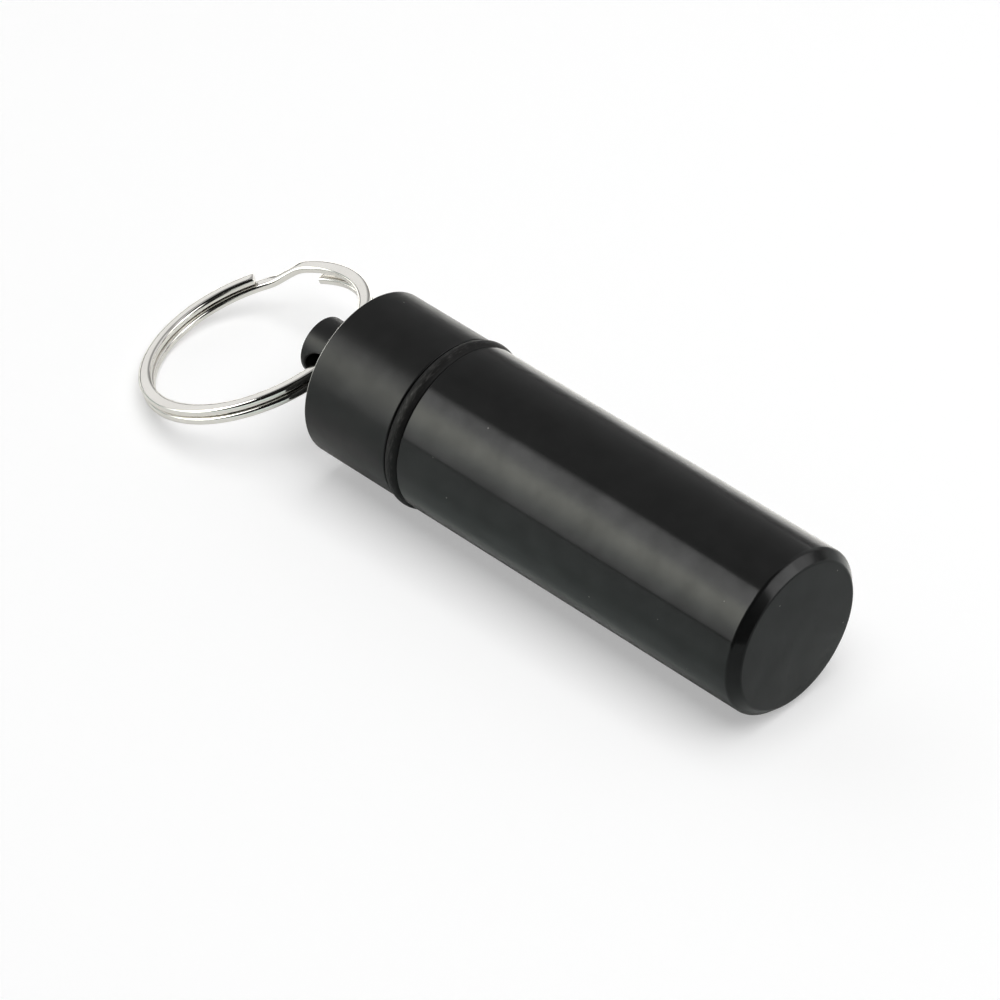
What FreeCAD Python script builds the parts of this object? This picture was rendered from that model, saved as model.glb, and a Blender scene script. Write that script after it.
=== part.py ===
import FreeCAD, Part
import math
import os

import Sketcher

doc = FreeCAD.newDocument("PillContainer")

# Driving sizes of the container, in millimetres and degrees.
SIZES = {
    # Turned tube
    "tube_diameter": 14.0,
    "tube_length": 34.8,
    "end_chamfer": 0.77,
    "edge_break": 0.15,
    "floor_thickness": 2.2,
    "floor_chamfer": 0.8,
    # Threaded neck, from the tube's shoulder to its mouth
    "shoulder_width": 1.0,
    "neck_length": 6.5,
    "neck_wall": 1.2,
    "neck_lead": 0.5,
    "mouth_break": 0.2,
    # Rubber seal, squeezed between the cap's rim and the tube's shoulder
    "seal_seat_depth": 0.4,
    "seal_seat_length": 1.6,
    "seal_seat_play": 0.03,
    "seal_width": 1.3,
    "seal_stand_out": 0.22,
    "seal_corner": 0.3,
    # Screw cap
    "thread_play": 0.1,
    "cap_lead": 0.3,
    "cap_headroom": 0.6,
    "ceiling_chamfer": 0.4,
    "cap_top": 2.9,
    # Knob on the cap's end, with its cross hole
    "knob_diameter": 4.8,
    "knob_length": 5.1,
    "knob_root_chamfer": 0.3,
    "knob_tip_break": 0.2,
    "hole_play": 0.17,
    "hole_tip_wall": 0.42,
    "hole_chamfer": 0.12,
    "hole_clock": 9.9,
    # Split ring of flattened wire, with angles counted clockwise from the knob
    "ring_outer_diameter": 19.85,
    "wire_width": 1.1,
    "wire_height": 0.73,
    "coil_gap": 0.05,
    "ring_yaw": 7.6,
    "upper_tip": 228.3,
    "crossing_start": 233.5,
    "crossing_end": 257.0,
    "crossing_lift": 0.1,
    "lower_tip": 264.0,
    "lower_tip_drop": 0.22,
    "settling_arc": 45.0,
}

sheet = doc.addObject("Spreadsheet::Sheet", "Sizes")
for line, (name, number) in enumerate(SIZES.items(), 1):
    sheet.set(f"A{line}", name)
    sheet.set(f"B{line}", str(number))
    sheet.setAlias(f"B{line}", name)
doc.recompute()


def value(expression):
    """Number that an expression over the sheet gives."""
    return float(sheet.evalExpression(expression))


def origin_plane(body, role):
    """Plane of a body's own origin."""
    return next(feature for feature in body.Origin.OriginFeatures if feature.Role == role)


def tie_corners(profile, expressions, distance, alignment, axis):
    """Ties one coordinate of every corner to an axis, an equal corner or its expression."""
    first = {}
    for corner, expression in enumerate(expressions):
        if expression == "0":
            profile.addConstraint(Sketcher.Constraint("PointOnObject", corner, 1, axis))
        elif expression in first:
            profile.addConstraint(Sketcher.Constraint(alignment, first[expression], 1, corner, 1))
        else:
            first[expression] = corner
            size = Sketcher.Constraint(distance, -1, 1, corner, 1, value(expression))
            number = profile.addConstraint(size)
            profile.setExpression(f"Constraints[{number}]", expression)


def turned(label, corners, bulge_corner=None, bulge_rise=None):
    """Body turned about X from corners given as expressions: distance along X, and radius.

    After the bulge corner, the outline goes to the next corner by an arc that rises from the
    chord, and such an outline runs from the inside along +X and back along the outside.
    """
    body = doc.addObject("PartDesign::Body", label)
    profile = body.newObject("Sketcher::SketchObject", label + "_profile")
    profile.AttachmentSupport = (origin_plane(body, "XY_Plane"), [""])
    profile.MapMode = "FlatFace"
    spots = [FreeCAD.Vector(value(along), value(radius), 0) for along, radius in corners]
    following = spots[1:] + spots[:1]
    for corner, (start, end) in enumerate(zip(spots, following)):
        if corner == bulge_corner:
            top = (start + end) / 2 + FreeCAD.Vector(0, value(bulge_rise), 0)
            profile.addGeometry(Part.Arc(start, top, end), False)
        else:
            profile.addGeometry(Part.LineSegment(start, end), False)
    for corner in range(len(spots)):
        joined = (corner + 1) % len(spots)
        profile.addConstraint(Sketcher.Constraint("Coincident", corner, 2, joined, 1))
    tie_corners(profile, [along for along, radius in corners], "DistanceX", "Vertical", -2)
    tie_corners(profile, [radius for along, radius in corners], "DistanceY", "Horizontal", -1)
    if bulge_rise:
        chord = f"({corners[bulge_corner][0]} - ({corners[bulge_corner + 1][0]}))"
        bend = f"({chord} ^ 2 / 4 + ({bulge_rise}) ^ 2) / 2 / ({bulge_rise})"
        number = profile.addConstraint(Sketcher.Constraint("Radius", bulge_corner, value(bend)))
        profile.setExpression(f"Constraints[{number}]", bend)
    turning = body.newObject("PartDesign::Revolution", label + "_turning")
    turning.Profile = profile
    turning.ReferenceAxis = (profile, ["H_Axis"])
    turning.Angle = 360
    doc.recompute()
    return body


# Radii and places along the axis that several pieces share.
tube_radius = "Sizes.tube_diameter / 2"
thread_radius = f"{tube_radius} - Sizes.shoulder_width"
chamber_radius = f"{thread_radius} - Sizes.neck_wall"
seat_radius = f"{thread_radius} - Sizes.seal_seat_depth"
rim_radius = f"{tube_radius} - Sizes.edge_break"
shoulder = "Sizes.tube_length"
seat_end = f"{shoulder} + Sizes.seal_seat_length"
mouth = f"{shoulder} + Sizes.neck_length"

# Tube: turned from bar, drilled to a flat floor, with a bevelled end, a neck for the thread and a seat
# at the neck's root that keeps the seal on when the cap is off.
tube = turned(
    "tube",
    [
        ("0", "0"),
        ("0", f"{tube_radius} - Sizes.end_chamfer"),
        ("Sizes.end_chamfer", tube_radius),
        (f"{shoulder} - Sizes.edge_break", tube_radius),
        (shoulder, rim_radius),
        (shoulder, seat_radius),
        (seat_end, seat_radius),
        (f"{seat_end} + Sizes.seal_seat_depth", thread_radius),
        (f"{mouth} - Sizes.neck_lead", thread_radius),
        (mouth, f"{thread_radius} - Sizes.neck_lead"),
        (mouth, f"{chamber_radius} + Sizes.mouth_break"),
        (f"{mouth} - Sizes.mouth_break", chamber_radius),
        ("Sizes.floor_thickness + Sizes.floor_chamfer", chamber_radius),
        ("Sizes.floor_thickness", f"{chamber_radius} - Sizes.floor_chamfer"),
        ("Sizes.floor_thickness", "0"),
    ],
)

# Seal: a rubber ring pressed flat between shoulder and rim. Past the edge of the metal it is
# free, and bulges out proud of both.
seal_inside = f"{seat_radius} + Sizes.seal_seat_play"
seal = turned(
    "seal_ring",
    [
        ("0", f"{seal_inside} + Sizes.seal_corner"),
        ("Sizes.seal_corner", seal_inside),
        ("Sizes.seal_width - Sizes.seal_corner", seal_inside),
        ("Sizes.seal_width", f"{seal_inside} + Sizes.seal_corner"),
        ("Sizes.seal_width", rim_radius),
        ("0", rim_radius),
    ],
    bulge_corner=4,
    bulge_rise="Sizes.seal_stand_out + Sizes.edge_break",
)
seal.setExpression("Placement.Base.x", shoulder)

# Cap: screws down over the neck onto the seal. The knob is turned in one piece with it.
bore_radius = f"{thread_radius} + Sizes.thread_play"
ceiling = "Sizes.neck_length - Sizes.seal_width + Sizes.cap_headroom"
cap_end = f"{ceiling} + Sizes.cap_top"
knob_radius = "Sizes.knob_diameter / 2"
knob_tip = f"{cap_end} + Sizes.knob_length"
cap = turned(
    "cap",
    [
        ("0", f"{bore_radius} + Sizes.cap_lead"),
        ("0", rim_radius),
        ("Sizes.edge_break", tube_radius),
        (f"{cap_end} - Sizes.edge_break", tube_radius),
        (cap_end, rim_radius),
        (cap_end, f"{knob_radius} + Sizes.knob_root_chamfer"),
        (f"{cap_end} + Sizes.knob_root_chamfer", knob_radius),
        (f"{knob_tip} - Sizes.knob_tip_break", knob_radius),
        (knob_tip, f"{knob_radius} - Sizes.knob_tip_break"),
        (knob_tip, "0"),
        (ceiling, "0"),
        (ceiling, f"{bore_radius} - Sizes.ceiling_chamfer"),
        (f"{ceiling} - Sizes.ceiling_chamfer", bore_radius),
        ("Sizes.cap_lead", bore_radius),
    ],
)

# Cross hole: wide enough for both coils of the split ring, with the bow that they have
# inside the knob and the ring turned to one side.
coil_diameter = "(Sizes.ring_outer_diameter - Sizes.wire_width)"
coil_bow = f"(Sizes.knob_diameter ^ 2 / 4 / {coil_diameter})"
half_across = (
    f"(Sizes.wire_width / 2 + {coil_bow} / 2 + {knob_radius} * tan(Sizes.ring_yaw * 1 deg))"
)
half_stack = "(Sizes.wire_height + Sizes.coil_gap / 2)"
hole_radius = f"sqrt({half_across} ^ 2 + {half_stack} ^ 2) + Sizes.hole_play"
hole_along = f"{knob_tip} - Sizes.hole_tip_wall - ({hole_radius})"
outline = cap.newObject("Sketcher::SketchObject", "cross_hole_outline")
outline.AttachmentSupport = (origin_plane(cap, "XZ_Plane"), [""])
outline.MapMode = "FlatFace"
hole_spot = FreeCAD.Vector(value(hole_along), 0, 0)
outline.addGeometry(Part.Circle(hole_spot, FreeCAD.Vector(0, 0, 1), value(hole_radius)), False)
outline.addConstraint(Sketcher.Constraint("PointOnObject", 0, 3, -1))
outline.addConstraint(Sketcher.Constraint("DistanceX", -1, 1, 0, 3, hole_spot.x))
outline.setExpression("Constraints[1]", hole_along)
outline.addConstraint(Sketcher.Constraint("Radius", 0, value(hole_radius)))
outline.setExpression("Constraints[2]", hole_radius)
uncut_volume = cap.Shape.Volume
cross_hole = cap.newObject("PartDesign::Pocket", "cross_hole")
cross_hole.Profile = outline
cross_hole.Midplane = True
cross_hole.setExpression("Length", "Sizes.knob_diameter * 2")
doc.recompute()
if cap.Shape.Volume > uncut_volume - value(hole_radius) ** 2 * value("Sizes.knob_diameter"):
    raise RuntimeError("the cross hole doesn't go through the knob")
hole_edges = []
for number, edge in enumerate(cross_hole.Shape.Edges, 1):
    box = edge.BoundBox
    on_wall = abs(box.Center.x - hole_spot.x) < value(hole_radius)
    if on_wall and not isinstance(edge.Curve, (Part.Line, Part.Circle)):
        hole_edges.append(f"Edge{number}")
hole_break = cap.newObject("PartDesign::Chamfer", "hole_break")
hole_break.Base = (cross_hole, hole_edges)
hole_break.setExpression("Size", "Sizes.hole_chamfer")
doc.recompute()
cap.Placement.Rotation = FreeCAD.Rotation(FreeCAD.Vector(-1, 0, 0), value("Sizes.hole_clock"))
cap.setExpression("Placement.Base.x", f"{shoulder} + Sizes.seal_width")
cap.setExpression("Placement.Rotation.Angle", "Sizes.hole_clock")

# Split ring: one length of flattened wire wound into two coils. From its lower tip it runs
# round in the lower layer, crosses to the upper layer in an S bend and runs round again.
wire_width = value("Sizes.wire_width")
wire_height = value("Sizes.wire_height")
coil_radius = value(coil_diameter) / 2
layer = (wire_height + value("Sizes.coil_gap")) / 2
settling = value("Sizes.settling_arc")
lower_tip = value("Sizes.lower_tip")
crossing_start = value("Sizes.crossing_start") + 360
crossing_end = value("Sizes.crossing_end") + 360
upper_tip = value("Sizes.upper_tip") + 720
lift = value("Sizes.crossing_lift")
drop = value("Sizes.lower_tip_drop")
lower_start = lower_tip + settling
upper_start = crossing_end + settling
lower_middle = (lower_start + crossing_start) / 2
upper_middle = (upper_start + upper_tip) / 2
bend_share = 0.3
bend_step = 3
section_flats = 12


def ramp(angle, start, end):
    """Rise from 0 to 1 between two angles as an S bend: an arc, a straight slope and an arc."""
    share = min(max((angle - start) / (end - start), 0), 1)
    if share < bend_share:
        return share ** 2 / (2 * bend_share * (1 - bend_share))
    if share > 1 - bend_share:
        return 1 - (1 - share) ** 2 / (2 * bend_share * (1 - bend_share))
    return (share - bend_share / 2) / (1 - bend_share)


def winding_height(angle):
    """Height of the wire's centre line: a sprung lower tip, the lower layer, the S bend to a
    little above the upper layer, and the upper coil closing down to its own."""
    sprung = drop * (1 - ramp(angle, lower_tip, lower_start))
    risen = (2 * layer + lift) * ramp(angle, crossing_start, crossing_end)
    settled = lift * ramp(angle, crossing_end, upper_start)
    return risen - layer - sprung - settled


def wire_point(angle):
    """Point on the wire's centre line, clockwise from the knob as seen from above."""
    turn = math.radians(angle)
    height = winding_height(angle)
    return FreeCAD.Vector(-coil_radius * math.cos(turn), coil_radius * math.sin(turn), height)


def wire_direction(angle):
    """Level direction of the wire at an angle."""
    turn = math.radians(angle)
    return FreeCAD.Vector(math.sin(turn), math.cos(turn), 0)


def level_arc(start, end):
    """Part of a coil that stays in its layer."""
    middle = (start + end) / 2
    return Part.Arc(wire_point(start), wire_point(middle), wire_point(end)).toShape()


def rising_arc(start, end):
    """Part of a coil whose height changes."""
    steps = math.ceil((end - start) / bend_step)
    angles = [start + (end - start) * step / steps for step in range(steps + 1)]
    curve = Part.BSplineCurve()
    curve.interpolate(
        Points=[wire_point(angle) for angle in angles],
        InitialTangent=wire_direction(start),
        FinalTangent=wire_direction(end),
    )
    return curve.toShape()


path = Part.Wire(
    [
        rising_arc(lower_tip, lower_start),
        level_arc(lower_start, lower_middle),
        level_arc(lower_middle, crossing_start),
        rising_arc(crossing_start, crossing_end),
        rising_arc(crossing_end, upper_start),
        level_arc(upper_start, upper_middle),
        level_arc(upper_middle, upper_tip),
    ]
)
overlap = range(math.ceil(lower_tip), math.floor(upper_tip - 360))
coil_steps = [winding_height(angle + 360) - winding_height(angle) for angle in overlap]
print(f"least gap between the coils: {min(coil_steps) - wire_height:.3f} mm")

# Section of the wire: broad flats where the coils meet, and round sides of five narrow flats.
tip = wire_point(lower_tip)
outward = FreeCAD.Vector(tip.x, tip.y, 0).normalize()
upward = FreeCAD.Vector(0, 0, 1)
flat = (wire_width - wire_height) / 2
side = wire_height / 2
side_reach = side / math.cos(math.pi / section_flats)
section_spots = []
for number in range(section_flats):
    turn = math.pi * (2 * number + 1) / section_flats
    across = math.copysign(flat, math.cos(turn)) + side_reach * math.cos(turn)
    section_spots.append(tip + outward * across + upward * side_reach * math.sin(turn))
section = Part.makePolygon(section_spots + section_spots[:1])
winding = Part.BRepOffsetAPI.MakePipeShell(path)
winding.setBiNormalMode(upward)
winding.add(section, False, False)
winding.build()
winding.makeSolid()
ring = doc.addObject("Part::Feature", "split_ring")
ring.Shape = winding.shape()

# The ring hangs in the cross hole, turned a little to one side, and droops until it lies on the
# surface that the tube's closed end and the seal lie on.
hole_centre = FreeCAD.Vector(value(f"{shoulder} + Sizes.seal_width + {hole_along}"), 0, 0)
centre_reach = coil_radius - value(coil_bow) / 2


def ring_pose(droop):
    """Place of the ring at an angle below straight out."""
    clock = FreeCAD.Rotation(FreeCAD.Vector(-1, 0, 0), value("Sizes.hole_clock"))
    swing = FreeCAD.Rotation(FreeCAD.Vector(0, 1, 0), droop)
    yaw = FreeCAD.Rotation(FreeCAD.Vector(0, 0, 1), value("Sizes.ring_yaw"))
    turn = clock.multiply(swing).multiply(yaw)
    return FreeCAD.Placement(hole_centre + turn.multVec(FreeCAD.Vector(centre_reach, 0, 0)), turn)


resting_span = value(f"{shoulder} + Sizes.seal_width / 2 - Sizes.end_chamfer")
surface_spot = FreeCAD.Vector(value("Sizes.end_chamfer"), 0, -value(tube_radius))
surface_up = FreeCAD.Vector(value("Sizes.seal_stand_out") / resting_span, 0, 1).normalize()


def ring_height(droop):
    """Height of the ring's lowest point above that surface."""
    pose = ring_pose(droop)
    level = pose.Rotation.multVec(upward).dot(surface_up)
    lean = math.sqrt(1 - level ** 2)
    centre_height = (pose.Base - surface_spot).dot(surface_up)
    return centre_height - layer * level - (coil_radius + flat) * lean - side


highest, lowest = 0.0, 80.0
for halving in range(40):
    droop = (highest + lowest) / 2
    if ring_height(droop) > 0:
        highest = droop
    else:
        lowest = droop
ring.Placement = ring_pose(droop)
doc.recompute()

pieces = [tube, seal, cap, ring]
for part in doc.Objects:
    if "Invalid" in part.State or "Error" in part.State:
        raise RuntimeError(f"{part.Label} failed")
for piece in pieces:
    if piece.Shape.isNull() or not piece.Shape.isValid() or len(piece.Shape.Solids) != 1:
        raise RuntimeError(f"{piece.Label} isn't one sound solid")

os.makedirs("parts", exist_ok=True)
for piece in pieces:
    piece.Shape.exportStep(f"parts/{piece.Label}.step")
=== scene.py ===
import math

import bmesh
import bpy
import numpy as np
from mathutils import Matrix, Vector


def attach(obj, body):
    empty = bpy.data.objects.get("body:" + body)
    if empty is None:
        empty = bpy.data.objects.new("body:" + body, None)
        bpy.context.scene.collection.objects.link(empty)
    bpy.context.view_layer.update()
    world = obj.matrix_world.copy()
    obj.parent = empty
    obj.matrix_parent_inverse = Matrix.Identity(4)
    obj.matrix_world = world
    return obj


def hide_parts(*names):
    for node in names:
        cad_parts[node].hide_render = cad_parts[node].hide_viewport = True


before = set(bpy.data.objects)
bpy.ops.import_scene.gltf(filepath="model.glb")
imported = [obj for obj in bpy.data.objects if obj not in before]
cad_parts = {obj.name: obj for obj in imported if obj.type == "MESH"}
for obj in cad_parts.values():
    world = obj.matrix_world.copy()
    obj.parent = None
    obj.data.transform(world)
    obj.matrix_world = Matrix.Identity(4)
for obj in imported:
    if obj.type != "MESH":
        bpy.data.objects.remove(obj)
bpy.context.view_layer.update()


# The tube is the container itself: aluminium bar turned to a plain cylinder with a bevelled closed end,
# bored out for the pills, and stepped down at its mouth to a neck with a right-hand screw thread.
# It is polished and then dyed black in the anodising bath.

mm = 0.001
tube_radius = 7.0                # sizes are in mm, and places along the axis are from the closed end
tube_length = 34.8
end_bevel = 0.77
face_edge_rounding = 0.35
wall_edge_rounding = 0.4
edge_break = 0.15
seat_radius = 5.6                # the groove behind the thread, where the seal sits
seat_end = 36.4
neck_radius = 6.0
neck_start = 36.8
neck_end = 41.3
neck_lead = 0.5
mouth_break = 0.2
chamber_radius = 4.8
chamber_floor = 2.2
floor_corner = 0.8
thread_pitch = 1.0
thread_depth = 0.54
thread_run_in = 0.6              # the length in which the neck's thread reaches its depth
crest_half = 0.1                 # half of a crest, and from its middle to the root, as shares of the pitch
root_start = 0.375
turn = np.linspace(0, 1, 193)    # the steps round the axis, as shares of a turn
same_point = 0.0002              # points of a mesh that lie as close as this are joined


def towards(start, end):
    """The unit vector from one point of a profile to another."""
    step = np.subtract(end, start)
    return step / np.linalg.norm(step)


def profile(*corners, arc_steps=6):
    """Rows of a turned shape from (along the axis, radius, rounding) corners; a rounding becomes an arc."""
    rows = []
    for place, (x, radius, rounding) in enumerate(corners):
        if not rounding:
            rows.append((x, radius))
            continue
        corner = np.array((x, radius))
        back = towards(corner, corners[place - 1][:2])
        ahead = towards(corner, corners[place + 1][:2])
        half = math.acos(back @ ahead) / 2
        centre = corner + towards((0, 0), back + ahead) * rounding / math.sin(half)
        start, end = (corner + side * rounding / math.tan(half) - centre for side in (back, ahead))
        bend = math.pi - 2 * half
        for share in np.linspace(0, 1, arc_steps + 1):
            swung = start * math.sin((1 - share) * bend) + end * math.sin(share * bend)
            rows.append(centre + swung / math.sin(bend))
    return rows


def thread_groove(x):
    """How deep the thread is cut at a place along the axis, from 0 at its crest to 1 at its root."""
    phase = (x - neck_start) / thread_pitch - turn
    from_crest = np.abs(phase - np.round(phase))
    return np.clip((from_crest - crest_half) / (root_start - crest_half), 0, 1)


def thread_rows(start, end, radius):
    """Rows that climb with the thread from start to end, so that its crests and roots have clean edges."""
    first = math.floor((start - neck_start) / thread_pitch) - 1
    last = math.ceil((end - neck_start) / thread_pitch) + 1
    flank = (crest_half + root_start) / 2
    rows = []
    for crest in range(first, last):
        for share in (0, crest_half, flank, root_start, 0.5, 1 - root_start, 1 - flank, 1 - crest_half):
            x = np.clip(neck_start + thread_pitch * (crest + share + turn), start, end)
            rows.append((x, radius(x)))
    return rows


def neck_surface(x):
    """The neck's radius at a place along the axis, with its thread and the lead at its mouth."""
    cut = thread_depth * np.clip((x - neck_start) / thread_run_in, 0, 1) * thread_groove(x)
    return np.minimum(neck_radius - cut, neck_radius - neck_lead + neck_end - x)


def welded(mesh, closeness):
    """Joins the points of a mesh that lie together and turns its faces outward."""
    weld = bmesh.new()
    weld.from_mesh(mesh)
    bmesh.ops.remove_doubles(weld, verts=weld.verts, dist=closeness * mm)
    bmesh.ops.dissolve_degenerate(weld, edges=weld.edges, dist=closeness * mm)
    bmesh.ops.recalc_face_normals(weld, faces=weld.faces)
    weld.to_mesh(mesh)
    weld.free()
    return mesh


def grid_mesh(name, points):
    """A mesh from rows of points in mm, welded where rows or columns meet."""
    high, wide = points.shape[:2]
    corner = np.arange(high * wide).reshape(high, wide)
    faces = np.stack((corner[:-1, :-1], corner[:-1, 1:], corner[1:, 1:], corner[1:, :-1]), -1)
    mesh = bpy.data.meshes.new(name)
    mesh.from_pydata((points.reshape(-1, 3) * mm).tolist(), [], faces.reshape(-1, 4).tolist())
    return welded(mesh, same_point)


def turned_mesh(name, rows):
    """Turns (along the axis, radius) rows about the container's axis."""
    side, up = np.cos(2 * math.pi * turn), np.sin(2 * math.pi * turn)
    rings = [np.stack(np.broadcast_arrays(x, radius * side, radius * up), -1) for x, radius in rows]
    return grid_mesh(name, np.array(rings))


def put_in_scene(name, data):
    """Stands a mesh, a lamp or a camera in the scene."""
    item = bpy.data.objects.new(name, data)
    bpy.context.scene.collection.objects.link(item)
    return item


def show_mesh(name, mesh, sharp_from=32):
    """Puts a closed mesh in the scene with its soft edges smooth and its sharp ones crisp."""
    mesh.shade_smooth()
    mesh.set_sharp_from_angle(angle=math.radians(sharp_from))
    piece = put_in_scene(name, mesh)
    flats = piece.modifiers.new("flats stay flat", "WEIGHTED_NORMAL")
    flats.keep_sharp = True
    return piece


class Shade:
    """A socket of a finish's nodes. Arithmetic on it adds Math nodes, and node() adds any other kind."""

    def __init__(self, socket):
        self.socket = socket

    def node(self, kind, sockets, output=0, **settings):
        """Adds a node, with its settings made first and then its sockets given values or links."""
        tree = self.socket.id_data
        made = tree.nodes.new("ShaderNode" + kind)
        for name, value in settings.items():
            if name == "stops":
                ramp = made.color_ramp
                while len(ramp.elements) < len(value):
                    ramp.elements.new(0.5)
                for stop, (position, colour) in zip(ramp.elements, value):
                    stop.position = position
                    stop.color = (*np.broadcast_to(colour, 3), 1)
            else:
                setattr(made, name, value)
        for name, value in sockets.items():
            if isinstance(value, Shade):
                tree.links.new(value.socket, made.inputs[name])
            else:
                made.inputs[name].default_value = value
        return Shade(made.outputs[output])

    def math(self, operation, first, second=0.0):
        return self.node("Math", {0: first, 1: second}, operation=operation)

    def __add__(self, other):
        return self.math("ADD", self, other)

    def __radd__(self, other):
        return self.math("ADD", other, self)

    def __sub__(self, other):
        return self.math("SUBTRACT", self, other)

    def __rsub__(self, other):
        return self.math("SUBTRACT", other, self)

    def __mul__(self, other):
        return self.math("MULTIPLY", self, other)

    def __rmul__(self, other):
        return self.math("MULTIPLY", other, self)

    def __truediv__(self, other):
        return self.math("DIVIDE", self, other)

    def __rtruediv__(self, other):
        return self.math("DIVIDE", other, self)

    def __gt__(self, other):
        return self.math("GREATER_THAN", self, other)

    def __lt__(self, other):
        return self.math("LESS_THAN", self, other)

    def axis(self, letter):
        """How far a place lies along one axis."""
        return self.node("SeparateXYZ", {0: self}, letter)

    def fade(self, start, end, low=0.0, high=1.0, bend="SMOOTHSTEP"):
        """Low where this value is at the start, high where it is at the end, and level beyond them."""
        return self.node("MapRange", {0: self, 1: start, 2: end, 3: low, 4: high}, interpolation_type=bend)

    def blend(self, first, second):
        """The colour that lies by this share between the first and the second."""
        return self.node("Mix", {0: self, 6: first, 7: second}, 2, data_type="RGBA")

    def feed(self, shader, socket):
        self.socket.id_data.links.new(self.socket, shader.inputs[socket])


def diagonal(one, other):
    """The distance that two distances square to each other make."""
    return one.math("SQRT", one * one + other * other)


def new_finish(name):
    """A material, its shader, and the place on the surface in the piece's own axes, in metres."""
    finish = bpy.data.materials.new(name)
    finish.use_nodes = True
    shader = finish.node_tree.nodes["Principled BSDF"]
    place = Shade(finish.node_tree.nodes.new("ShaderNodeTexCoord").outputs["Object"])
    return finish, shader, place


def anodised_black(name, haze, haze_index, skin, skin_roughness, waviness, patchiness,
                   worn_highlight_edge=None, wear_highlight_from=0.0):
    """Black-dyed anodised aluminium: a hazy dyed layer with the lathe's fine rings, under a hard clear skin.
    The dye may be worn through to bare metal along one turned edge, given as its place along the axis and its
    radius.
    The bare band is full above one height and faint below it: partly wear, and partly a painted highlight
    along the edge's upper part, where it catches the light."""
    deep_dye = (0.0016, 0.0018, 0.0018, 1)
    thin_dye = (0.0026, 0.0028, 0.0028, 1)
    rings_per_metre = 9000
    ring_depth = 0.002 * mm
    dust_grey = (0.10, 0.097, 0.09, 1)
    specks_per_metre = 600.0
    speck_size = 0.045           # as a share of the space between specks
    clean_share = 0.6            # of the places where a speck could lie
    bare_metal = (0.62, 0.61, 0.58, 1)
    bare_within, dyed_beyond = 0.08 * mm, 0.13 * mm
    wander = 0.06 * mm
    wear_highlight_fade = 2.0 * mm
    least_wear_highlight = 0.15

    finish, shader, place = new_finish(name)
    shader.inputs["IOR"].default_value = haze_index
    shader.inputs["Coat Roughness"].default_value = skin_roughness
    shader.inputs["Coat IOR"].default_value = 1.4
    x, y, z = (place.axis(letter) for letter in "XYZ")
    radius = diagonal(y, z)
    tool_path = place.node("CombineXYZ", {"X": x * rings_per_metre, "Y": radius * rings_per_metre, "Z": 0.0})
    rings = place.node("TexNoise", {"Vector": tool_path, "Scale": 1.0, "Detail": 2.0})
    smears = place.node("TexNoise", {"Vector": place, "Scale": 450.0, "Detail": 3.0, "Roughness": 0.6})
    dye = place.node("TexNoise", {"Vector": place, "Scale": 420.0, "Detail": 2.0})
    waves = place.node("TexNoise", {"Vector": place, "Scale": 330.0, "Detail": 1.0})
    from_speck = place.node("TexVoronoi", {"Vector": place, "Scale": specks_per_metre}, "Distance")
    chance = place.node("TexVoronoi", {"Vector": place, "Scale": specks_per_metre}, "Color")
    dust = (from_speck < speck_size) * (place.node("SeparateColor", {0: chance}, "Red") > clean_share)

    colour = dust.blend(dye.blend(deep_dye, thin_dye), dust_grey)
    roughness = haze + 0.12 * (smears - 0.5) + 0.08 * (rings - 0.5)
    clear_skin = skin + patchiness * skin * (smears - 0.5)
    if worn_highlight_edge:
        from_edge = diagonal(x - worn_highlight_edge[0], radius - worn_highlight_edge[1]) + wander * (smears - 0.5)
        wear_and_highlight = from_edge.fade(dyed_beyond, bare_within, bend="LINEAR")
        # Stronger above one height: a painted highlight along the lit upper part of the worn edge.
        wear_and_highlight = wear_and_highlight * z.fade(wear_highlight_from, wear_highlight_from + wear_highlight_fade, least_wear_highlight)
        colour = wear_and_highlight.blend(colour, bare_metal)
        roughness = roughness - 0.15 * wear_and_highlight
        clear_skin = clear_skin * (1 - wear_and_highlight)
        wear_and_highlight.feed(shader, "Metallic")
    colour.feed(shader, "Base Color")
    roughness.feed(shader, "Roughness")
    clear_skin.feed(shader, "Coat Weight")
    uneven = place.node("Bump", {"Strength": 1.0, "Distance": waviness, "Height": waves})
    relief = place.node("Bump", {"Strength": 0.25, "Distance": ring_depth, "Height": rings, "Normal": uneven})
    relief.feed(shader, "Normal")
    return finish


tube_rows = profile(
    (0, 0, 0),
    (0, tube_radius - end_bevel, face_edge_rounding),
    (end_bevel, tube_radius, wall_edge_rounding),
    (tube_length, tube_radius, edge_break),
    (tube_length, seat_radius, 0),
    (seat_end, seat_radius, 0),
    (neck_start, neck_radius, 0),
    arc_steps=8,
)
tube_rows += thread_rows(neck_start, neck_end, neck_surface)
tube_rows += profile(
    (neck_end, neck_radius - neck_lead, 0),
    (neck_end, chamber_radius, mouth_break),
    (chamber_floor, chamber_radius, floor_corner),
    (chamber_floor, 0, 0),
)
tube = show_mesh("tube_turned", turned_mesh("tube_turned", tube_rows))
tube.data.materials.append(anodised_black(
    "tube_finish", haze=0.42, haze_index=1.235, skin=0.45, skin_roughness=0.09,
    waviness=0.008 * mm, patchiness=1.2,
))
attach(tube, "tube")
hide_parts("tube")


# The seal is a moulded black rubber ring. It is stretched over the neck into the groove behind the thread,
# and the cap's rim squeezes it against the tube's shoulder, so that its outside bulges past both.
# Its crest is scuffed from handling.

seal_start = 34.8
seal_end = 36.1
seal_bore = 5.63
seal_corner = 0.3
seal_side_radius = 6.85
seal_bulge = 7.22
bulge_steps = 17
scuff_low, scuff_high = 7.08, 7.19
rubs_per_metre, rubs_per_radian = 7000, 9
rub_shows, rub_full = 0.5, 0.68
fresh_rubber = (0.003, 0.0029, 0.0028, 1)
bloomed_rubber = (0.006, 0.0058, 0.0056, 1)
scuffed_rubber = (0.034, 0.033, 0.032, 1)

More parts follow.
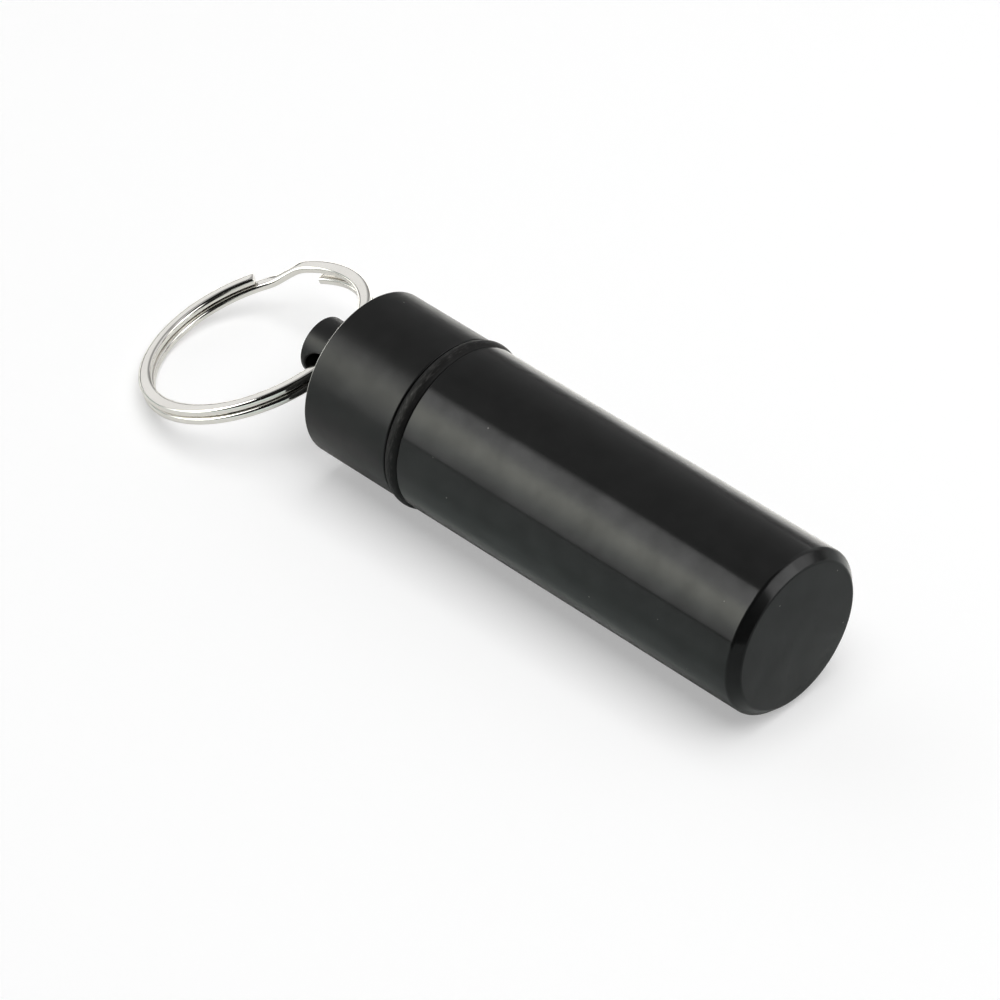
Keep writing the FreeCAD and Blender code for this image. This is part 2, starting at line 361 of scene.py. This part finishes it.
half_width = (seal_end - seal_start) / 2
seal_middle = seal_start + half_width
rise = seal_bulge - seal_side_radius
bulge_radius = (half_width ** 2 + rise ** 2) / (2 * rise)
bulge_half_angle = math.asin(half_width / bulge_radius)
seal_rows = [
    (seal_middle + bulge_radius * math.sin(angle), seal_bulge - bulge_radius * (1 - math.cos(angle)))
    for angle in np.linspace(-bulge_half_angle, bulge_half_angle, bulge_steps)
]
seal_rows += profile(
    (seal_end, seal_side_radius, 0),
    (seal_end, seal_bore, seal_corner),
    (seal_start, seal_bore, seal_corner),
    (seal_start, seal_side_radius, 0),
)
seal = show_mesh("seal_moulded", turned_mesh("seal_moulded", seal_rows))

rubber, rubber_shader, place = new_finish("seal_finish")
rubber_shader.inputs["IOR"].default_value = 1.26
x, y, z = (place.axis(letter) for letter in "XYZ")
mottle = place.node("TexNoise", {"Vector": place, "Scale": 1500.0, "Detail": 4.0})
bloom = place.node("TexNoise", {"Vector": place, "Scale": 180.0, "Detail": 2.0})
round_seal = place.math("ARCTAN2", z, y) * rubs_per_radian
rub_path = place.node("CombineXYZ", {"X": x * rubs_per_metre, "Y": round_seal, "Z": 0.0})
rubs = place.node("TexNoise", {"Vector": rub_path, "Scale": 1.0, "Detail": 4.0, "Roughness": 0.65})
on_crest = diagonal(y, z).fade(scuff_low * mm, scuff_high * mm)
scuffed = on_crest * rubs.fade(rub_shows, rub_full, bend="LINEAR")
rubber_black = scuffed.blend(bloom.blend(fresh_rubber, bloomed_rubber), scuffed_rubber)
rubber_black.feed(rubber_shader, "Base Color")
rubber_roughness = 0.52 + 0.2 * (mottle - 0.5) + 0.16 * (bloom - 0.5) - 0.12 * scuffed
rubber_roughness.feed(rubber_shader, "Roughness")
pitting = place.node("Bump", {"Strength": 0.5, "Distance": 0.05 * mm, "Height": mottle})
pitting.feed(rubber_shader, "Normal")
seal.data.materials.append(rubber)
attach(seal, "seal")
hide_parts("seal_ring")


# The cap is turned and anodised like the tube: a cup with an inside thread that screws over the neck, and
# a knob left standing on its end. The knob is drilled across for the split ring, and the dye has worn off
# along the edge between the cap's wall and its end; that bare edge is painted brighter on its upper part, as
# a highlight.

cap_start = 36.1
cap_end = 44.8
cap_radius = 7.0
rim_bore = 6.4
bore_radius = 6.1
bore_lead = 0.3
bore_end = 41.9
bore_plain = 0.8                 # the thread starts this far inside the rim,
bore_run_in = 0.8                # reaches its depth in this length
bore_run_out = 0.5               # and is gone this far before the ceiling, after as long a fade
ceiling_corner = 0.4
knob_radius = 2.4
knob_end = 49.9
knob_root = 0.3
knob_tip_break = 0.1
hole_place = 48.0379
hole_radius = 1.4421
hole_break = 0.12
hole_clock = math.radians(9.9)
drill_flare = 0.3                # the drill goes on widening this far past the knob's skin
drill_reach = knob_radius + 1.0
same_drilled_point = 0.004       # as same_point, once the hole is drilled
around = 2 * np.pi * np.linspace(0, 1, 97)


def bore_surface(x):
    """The bore's radius at a place along the axis, with its thread."""
    deepening = np.clip((x - cap_start - bore_plain) / bore_run_in, 0, 1)
    ending = np.clip((bore_end - bore_run_out - x) / bore_run_out, 0, 1)
    return bore_radius - thread_depth * (deepening * ending) * thread_groove(x)


cap_rows = profile(
    (knob_end, 0, 0),
    (knob_end, knob_radius, knob_tip_break),
    (cap_end, knob_radius, knob_root),
    (cap_end, cap_radius, edge_break),
    (cap_start, cap_radius, edge_break),
    (cap_start, rim_bore, 0),
    (cap_start + bore_lead, bore_radius, 0),
)
cap_rows += thread_rows(cap_start + bore_lead, bore_end - ceiling_corner, bore_surface)
cap_rows += profile(
    (bore_end - ceiling_corner, bore_radius, 0),
    (bore_end, bore_radius - ceiling_corner, 0),
    (bore_end, 0, 0),
)
cap_blank = put_in_scene("cap_turned", turned_mesh("cap_turned", cap_rows))

widest = hole_break + drill_flare
drill = []
for side in (-1, 1):
    stations = []
    for widening, lift in ((0, -hole_break), (hole_break, 0), (widest, drill_flare)):
        mouth = hole_radius + min(widening, hole_break)
        skin = np.sqrt(knob_radius ** 2 - (mouth * np.sin(around)) ** 2)
        stations.append((hole_radius + widening, side * (skin + lift)))
    stations += [(hole_radius + widest, side * drill_reach), (0, side * drill_reach)]
    drill += stations[::-1] if side < 0 else stations
drill_rings = []
for radius, reach in drill:
    ahead, up = radius * np.cos(around), radius * np.sin(around)
    drill_rings.append(np.stack((
        hole_place + ahead,
        reach * math.cos(hole_clock) + up * math.sin(hole_clock),
        up * math.cos(hole_clock) - reach * math.sin(hole_clock),
    ), -1))
cutter = put_in_scene("hole", grid_mesh("hole", np.array(drill_rings)))
drilling = cap_blank.modifiers.new("cross hole", "BOOLEAN")
drilling.object = cutter
drilling.operation = "DIFFERENCE"
drilling.solver = "EXACT"
drilled = bpy.data.meshes.new_from_object(cap_blank.evaluated_get(bpy.context.evaluated_depsgraph_get()))
bpy.data.objects.remove(cap_blank)
bpy.data.objects.remove(cutter)
cap = show_mesh("cap_drilled", welded(drilled, same_drilled_point))
# The cap's worn rim is strongest on its upper half: partly wear, partly a painted highlight.
cap.data.materials.append(anodised_black(
    "cap_finish", haze=0.45, haze_index=1.27, skin=0.27, skin_roughness=0.25,
    waviness=0.02 * mm, patchiness=2.0, worn_highlight_edge=(cap_end * mm, cap_radius * mm), wear_highlight_from=0.5 * mm,
))
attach(cap, "cap")
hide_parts("cap")


# The split ring is flattened spring wire wound nearly twice round, nickel-plated after winding. One jog lets
# the coil step over itself, so that both cut ends lie flat along it and a key can be worked in between.

ring_outside = 19.85
wire_width = 1.1
wire_height = 0.73
squareness = 0.7                 # of the wire's section, where 1 is an oval wire and 0 a square one
coil_gap = 0.05
coil_radius = (ring_outside - wire_width) / 2
layer = (wire_height + coil_gap) / 2
tip_break = 0.06
upper_tip = 228.3                # places round the ring are in degrees from the knob's hole
crossing_start, crossing_end = 233.5, 257.0
crossing_lift = 0.1
lower_tip = 264.0
lower_tip_drop = 0.22
settling_arc = 45.0
wire_steps = 500
section_steps = 41
ring_sharp_from = 40
ring_yaw = math.radians(7.6)
ring_droop = math.radians(19.198)
centre_reach = 9.2214
lines_per_metre, lines_per_radian = 14000, 3
dull_nickel = (0.70, 0.68, 0.64, 1)
bright_nickel = (0.80, 0.785, 0.75, 1)


def eased(angle, start, end):
    """From 0 to 1 between two places round the ring, with soft bends at both."""
    share = np.clip((angle - start) / (end - start), 0, 1)
    soft = 0.3
    gentle = 2 * soft * (1 - soft)
    leaving = share ** 2 / gentle
    steady = (share - soft / 2) / (1 - soft)
    arriving = 1 - (1 - share) ** 2 / gentle
    return np.where(share < soft, leaving, np.where(share > 1 - soft, arriving, steady))


def winding_height(angle):
    """How high the wire lies at a place round its winding, from the middle between the coils."""
    crossed = eased(angle, crossing_start + 360, crossing_end + 360)
    raised = eased(angle, lower_tip, lower_tip + settling_arc)
    settled = eased(angle, crossing_end + 360, crossing_end + 360 + settling_arc)
    stepped = (2 * layer + crossing_lift) * crossed - layer
    return stepped - lower_tip_drop * (1 - raised) - crossing_lift * settled


def wire_side(size, share):
    """How far the wire's skin is from its middle, along one side of its section."""
    return (size / 2 * np.sign(np.round(share, 6)) * np.abs(share) ** squareness)[:, None]


wound = np.linspace(lower_tip, upper_tip + 720, wire_steps)
bearing = np.radians(wound)
wire = np.stack((-coil_radius * np.cos(bearing), coil_radius * np.sin(bearing), winding_height(wound)), -1)
along = np.gradient(wire, axis=0)
along /= np.linalg.norm(along, axis=1)[:, None]
outward = np.cross(along, (0, 0, 1))
outward /= np.linalg.norm(outward, axis=1)[:, None]
upward = np.cross(outward, along)
round_wire = np.linspace(0, 2 * np.pi, section_steps)
section_out = wire_side(wire_width, np.cos(round_wire))
section_up = wire_side(wire_height, np.sin(round_wire))
blunt = 1 - 2 * tip_break
slices = [(0, 0, 0), (0, blunt, 0), (0, 1, tip_break)]
slices += [(step, 1, 0) for step in range(2, wire_steps - 2)]
slices += [(-1, 1, -tip_break), (-1, blunt, 0), (-1, 0, 0)]
wire_rings = []
for step, size, back in slices:
    section = section_out * outward[step] + section_up * upward[step]
    wire_rings.append(wire[step] + back * along[step] + size * section)
ring = show_mesh("ring_wound", grid_mesh("ring_wound", np.array(wire_rings)), ring_sharp_from)
drooped = Matrix.Rotation(hole_clock, 4, (-1, 0, 0)) @ Matrix.Rotation(ring_droop, 4, "Y")
turn_to_hole = drooped @ Matrix.Rotation(ring_yaw, 4, "Z")
ring_centre = Vector((hole_place, 0, 0)) + turn_to_hole @ Vector((centre_reach, 0, 0))
ring.matrix_world = Matrix.Translation(ring_centre * mm) @ turn_to_hole

nickel, nickel_shader, place = new_finish("ring_finish")
nickel_shader.inputs["Metallic"].default_value = 1.0
x, y, z = (place.axis(letter) for letter in "XYZ")
drawn = place.node("CombineXYZ", {
    "X": diagonal(x, y) * lines_per_metre,
    "Y": z * lines_per_metre,
    "Z": place.math("ARCTAN2", y, x) * lines_per_radian,
})
lines = place.node("TexNoise", {"Vector": drawn, "Scale": 1.0, "Detail": 3.0})
haze = place.node("TexNoise", {"Vector": place, "Scale": 350.0, "Detail": 3.0})
haze.blend(dull_nickel, bright_nickel).feed(nickel_shader, "Base Color")
nickel_roughness = 0.10 + 0.08 * (lines - 0.5) + 0.08 * (haze - 0.5)
nickel_roughness.feed(nickel_shader, "Roughness")
drawing_marks = place.node("Bump", {"Strength": 0.3, "Distance": 0.006 * mm, "Height": lines})
drawing_marks.feed(nickel_shader, "Normal")
ring.data.materials.append(nickel)
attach(ring, "ring")
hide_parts("split_ring")


# The container lies on its seal and its closed end on a white sheet that curves up far behind it.
# The sheet is very slightly tilted, because the seal stands out past the tube.

end_rest = 0.8                   # where the closed end touches the sheet
rest_tilt = math.atan2(seal_bulge - tube_radius, seal_middle - end_rest)
flat_reach = 800
sheet_curve = 200
sheet_rows = [(0, 0), (150, 0), (400, 0), (flat_reach, 0)]
for bend in np.linspace(0.1, 1.2, 12):
    sheet_rows.append((flat_reach + sheet_curve * math.sin(bend), sheet_curve * (1 - math.cos(bend))))
sheet_rings = [
    np.stack(np.broadcast_arrays(reach * np.cos(around), reach * np.sin(around), height), -1)
    for reach, height in sheet_rows
]
sheet = put_in_scene("white_sheet", grid_mesh("white_sheet", np.array(sheet_rings)))
sheet.data.shade_smooth()
rest_place = Matrix.Translation((end_rest * mm, 0, -tube_radius * mm))
sheet.matrix_world = rest_place @ Matrix.Rotation(rest_tilt, 4, "Y")

paper_lit = (0.9, 0.9, 0.9, 1)
paper_seen = (0.625, 0.625, 0.625, 1)
far_side, near_side = -200, 50   # the far and near ends of the tones across the sheet
# Painted reflections of the sheet, by place across it: brighter than white along the contact line and just
# behind the container (painted light), darker in front of it and far behind it (painted shade).
painted_reflection_across = [
    (0.2, 0.52), (0.36, 0.8), (0.56, (2.0, 1.98, 1.9)), (0.73, (2.05, 2.03, 1.94)),
    (0.817, (2.3, 2.34, 2.26)), (0.832, (0.66, 0.73, 0.70)), (0.864, (0.69, 0.76, 0.73)),
    (0.89, (0.92, 1.0, 0.97)), (1.0, (0.96, 1.04, 1.01)),
]
# Painted reflections by the closed end: darker just past it (painted shade), brighter than white farther on
# (painted light).
painted_reflection_before_end = (0.54, 0.57, 0.56, 1)
end_line = (-8 * mm, 15 * mm)    # each line is where one painted tone of the sheet's reflections gives way to the next
painted_reflection_past_end = (1.6, 1.6, 1.55, 1)
past_line = (-40 * mm, -100 * mm)
# An even painted reflection by the ring, and a nearly black one towards the table's edge (painted shade).
painted_reflection_by_ring = (0.9, 0.9, 0.88, 1)
ring_middle = (58.7 * mm, 4 * mm, 0)
ring_line = (26 * mm, 14 * mm)
painted_dark_reflection = (0.02, 0.02, 0.02, 1)
table_line = (60 * mm, 100 * mm)
painted_glow_line = (-40 * mm, 80 * mm)
# The sheet's own glow, seen by the camera only and a little stronger on its far side: painted light that
# lifts its shadows and evens its brightness.
near_painted_glow, far_painted_glow = 0.378, 0.42

paper, paper_shader, place = new_finish("white_sheet")
paper_shader.inputs["Roughness"].default_value = 1.0
paper_shader.inputs["Specular IOR Level"].default_value = 0.0
paper_shader.inputs["Emission Strength"].default_value = 1.0
lengthways, across = place.axis("X"), place.axis("Y")
share_across = (across - far_side * mm) / ((near_side - far_side) * mm)
# The painted reflections laid over the sheet; only reflections see them.
painted_reflection = place.node("ValToRGB", {0: share_across}, stops=painted_reflection_across)
painted_reflection_off_end = lengthways.fade(*past_line).blend(painted_reflection_before_end, painted_reflection_past_end)
painted_reflection = lengthways.fade(*end_line).blend(painted_reflection_off_end, painted_reflection)
from_ring = place.node("VectorMath", {0: place, 1: ring_middle}, "Value", operation="DISTANCE")
painted_reflection = from_ring.fade(*ring_line).blend(painted_reflection, painted_reflection_by_ring)
towards_table_edge = 0.6 * across - 0.8 * lengthways
painted_reflection = towards_table_edge.fade(*table_line).blend(painted_reflection, painted_dark_reflection)
seen = place.node("LightPath", {}, "Is Camera Ray")
glossy = place.node("LightPath", {}, "Is Glossy Ray")
through = place.node("LightPath", {}, "Is Transmission Ray")
reflected = place.math("MAXIMUM", glossy, through)
# The camera sees the sheet's plain colour, other bounces its lit colour, and reflections the painted tones.
seen.blend(reflected.blend(paper_lit, painted_reflection), paper_seen).feed(paper_shader, "Base Color")
# Painted light: the sheet glows for the camera, which lifts its shadows.
away = 0.695 * lengthways - 0.72 * across
lift = away.fade(*painted_glow_line, near_painted_glow, far_painted_glow, bend="LINEAR")
(seen * lift).feed(paper_shader, "Emission Color")
sheet.data.materials.append(paper)


# Soft boxes stand to the left of the camera, and from its right round to behind the container. They show
# only in reflections, as painted highlights, and shed no light on the sheet or on any dull surface.
# A broad lamp hangs overhead. A grey wall is beyond them, and the room on the camera's side is dark.

box_steps = 25
sharp_edge = 0.001               # the width, in radians, of an end that doesn't fade
unlit = (0, 0, 0, 1)


def reflected_soft_box(name, distance, bearings, fades, heights, strength, stops):
    """A glowing upright sheet, bent round the container between two bearings, which fades at its ends.
    Its brightness goes by height, with stops as shares of its top's height. Only reflections see it,
    so its glow is a painted highlight."""
    start, end = np.radians(bearings)
    columns = np.linspace(start, end, box_steps)
    sheet = put_in_scene(name, grid_mesh(name, np.array([
        [(distance * math.cos(column), distance * math.sin(column), row) for column in columns]
        for row in np.linspace(*heights, box_steps)
    ])))
    # Hidden from the camera and from dull surfaces: a painted highlight in reflections only.
    sheet.visible_camera = sheet.visible_diffuse = False
    glow, shader, place = new_finish(name)
    shader.inputs["Base Color"].default_value = unlit
    shader.inputs["Specular IOR Level"].default_value = 0.0
    shader.inputs["Emission Strength"].default_value = strength
    glow_colour = place.node("ValToRGB", {0: place.axis("Z") / (heights[1] * mm)}, stops=stops)
    middle, half = (start + end) / 2, (end - start) / 2
    ahead_way = (math.cos(middle), math.sin(middle), 0)
    aside_way = (-math.sin(middle), math.cos(middle), 0)
    ahead = place.node("VectorMath", {0: place, 1: ahead_way}, "Value", operation="DOT_PRODUCT")
    aside = place.node("VectorMath", {0: place, 1: aside_way}, "Value", operation="DOT_PRODUCT")
    from_middle = place.math("ARCTAN2", aside, ahead)
    start_fade, end_fade = np.radians(fades)
    lit = from_middle.fade(-half - sharp_edge, start_fade - half)
    lit = lit * from_middle.fade(half + sharp_edge, half - end_fade)
    lit.blend(unlit, glow_colour).feed(shader, "Emission Color")
    sheet.data.materials.append(glow)


left_glow = [
    (0.0, 0.18), (0.05, 0.35), (0.18, (0.54, 0.56, 0.53)), (0.31, (0.86, 0.87, 0.79)),
    (0.41, (0.99, 1.0, 0.9)), (0.46, (0.98, 0.99, 0.9)), (0.52, (0.85, 0.86, 0.8)),
    (0.62, 0.66), (0.8, 0.63), (1.0, 0.6),
]
banded_glow = [(0.0, 0.25), (0.15, 0.25), (0.21, 1.0), (0.47, 1.0), (0.53, 0.45), (1.0, 0.45)]
even_glow = [(0.0, 1.0), (1.0, 1.0)]
reflected_soft_box("left_box", 470.0, (18, 76), (13, 14), (8.0, 700.0), 6.1, left_glow)
reflected_soft_box("right_box", 600.0, (172, 220), (12, 0), (30.0, 940.0), 3.9, banded_glow)
reflected_soft_box("back_box", 600.0, (220, 252), (0, 20), (30.0, 940.0), 2.6, banded_glow)
reflected_soft_box("far_box", 600.0, (252, 300), (0, 0), (90.0, 900.0), 0.85, even_glow)

light = bpy.data.lights.new("ceiling_light", "AREA")
light.shape = "RECTANGLE"
light.size = 0.8
light.size_y = 0.64
light.energy = 5.2
lamp = put_in_scene("ceiling_light", light)
lamp.location = (-0.2, 0.02, 0.7)
lamp.visible_camera = lamp.visible_glossy = False

wall_by_height = [(0.0, 0.32), (0.4, 0.36), (0.81, 0.38), (0.88, 0.45), (0.94, 0.95), (1.0, 0.95)]
end_wall = (1.0, 1.0, 1.0, 1)
end_wall_line = (0.62, 0.8)      # in cosines from the way out to that wall, and the next line likewise
dark_side = (0.012, 0.012, 0.012, 1)
dark_way = (-0.314, 0.591, 0.743)
dark_line = (0.46, 0.64)
room = bpy.data.worlds.new("room")
room.use_nodes = True
outlook = Shade(room.node_tree.nodes.new("ShaderNodeTexCoord").outputs["Generated"])
walls = outlook.node("ValToRGB", {0: outlook.axis("Z")}, stops=wall_by_height)
walls = outlook.axis("X").fade(*end_wall_line).blend(walls, end_wall)
camera_side = outlook.node("VectorMath", {0: outlook, 1: dark_way}, "Value", operation="DOT_PRODUCT")
room_light = camera_side.fade(*dark_line).blend(walls, dark_side)
room_light.feed(room.node_tree.nodes["Background"], "Color")
bpy.context.scene.world = room


# The camera stands off beyond the closed end and looks down at forty degrees.
# Its lens is long, so the tube's sides run almost parallel in the picture.

camera = put_in_scene("camera", bpy.data.cameras.new("camera"))
camera.data.lens = 208.966
camera.data.sensor_width = 36.0
camera.location = (-0.207377, 0.246410, 0.283450)
azimuth, elevation = math.radians(223.992), math.radians(40.070)
towards_camera = Vector((
    math.sin(azimuth) * math.cos(elevation),
    -math.cos(azimuth) * math.cos(elevation),
    math.sin(elevation),
))
camera.rotation_euler = (-towards_camera).to_track_quat("-Z", "Y").to_euler()
bpy.context.scene.camera = camera
bpy.context.scene.view_settings.view_transform = "Standard"
